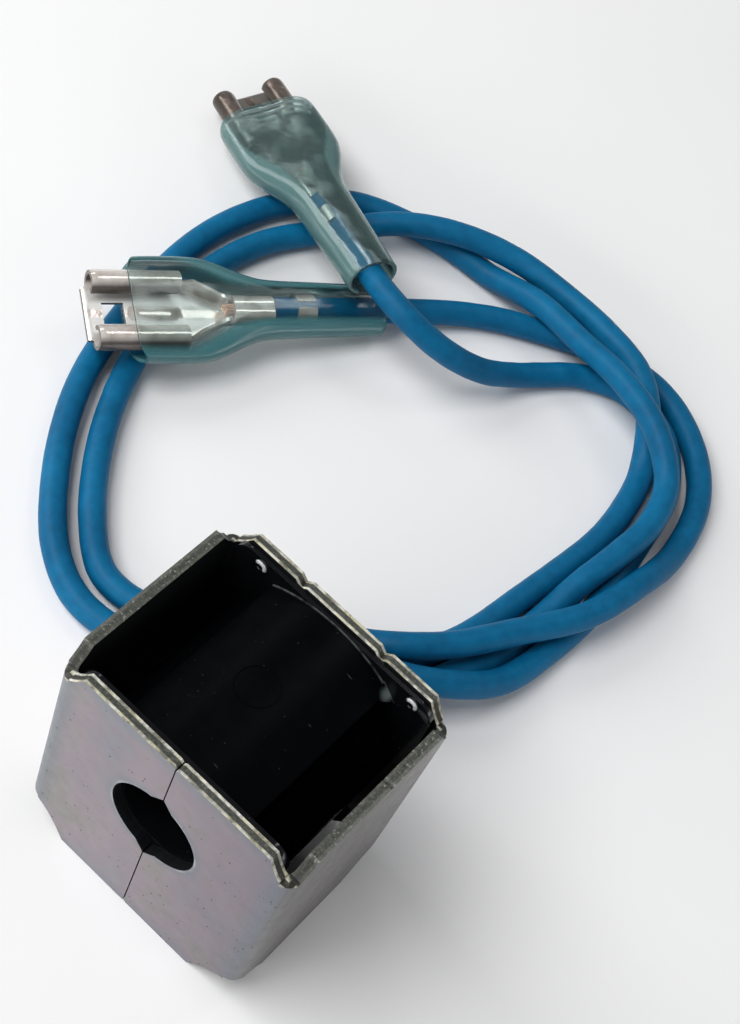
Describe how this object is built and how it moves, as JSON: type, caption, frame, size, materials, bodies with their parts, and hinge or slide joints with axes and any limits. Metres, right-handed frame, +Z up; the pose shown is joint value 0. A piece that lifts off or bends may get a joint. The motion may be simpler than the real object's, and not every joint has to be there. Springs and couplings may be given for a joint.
{
  "type": "reversing valve coil",
  "caption": "Solenoid coil in a folded steel yoke with a through bore, moulded spool and loose blue leads ending in sleeved push-on receptacles.",
  "frame": {"origin": "bottom centre of the yoke", "axes": "+Z up, +Y along the bore from the plate with the seam to the plate where the leads leave, +X to the right seen from the seam"},
  "size_m": [0.0673, 0.0774, 0.0256],
  "materials": {
    "zinc_steel": "zinc plated, slightly iridescent",
    "black_moulding": "satin black",
    "black_gloss": "glossy black",
    "enamelled_copper": "enamelled",
    "bare_copper": "bare strands",
    "tape": "matte film",
    "tin": "bright tin",
    "tinned_brass_dark": "dull tinned brass",
    "blue_insulation": "matte blue",
    "clear_vinyl": "clear soft vinyl"
  },
  "bodies": {
    "coil": {"yoke_frame": "zinc_steel", "bobbin": "black_moulding", "copper_winding": "enamelled_copper", "winding_tape": "tape", "coil_overmold": "black_gloss", "coil_tail_1": "enamelled_copper", "coil_tail_2": "enamelled_copper", "splice_1": "tin", "splice_2": "tin", "lead_1": "blue_insulation", "lead_2": "blue_insulation", "conductor_1": "bare_copper", "conductor_2": "bare_copper", "receptacle_1": "tinned_brass_dark", "receptacle_2": "tin"},
    "sleeve_one": {"sleeve_1": "clear_vinyl"},
    "sleeve_two": {"sleeve_2": "clear_vinyl"}
  },
  "joints": [
    {"name": "sleeve_1_slide", "type": "slide", "parent": "coil", "child": "sleeve_one", "axis": [-0.8956, 0.4081, -0.1771], "range_m": [-0.0015, 0.0035]},
    {"name": "sleeve_2_slide", "type": "slide", "parent": "coil", "child": "sleeve_two", "axis": [-0.5327, -0.8362, 0.1305], "range_m": [-0.0015, 0.003]}
  ]
}
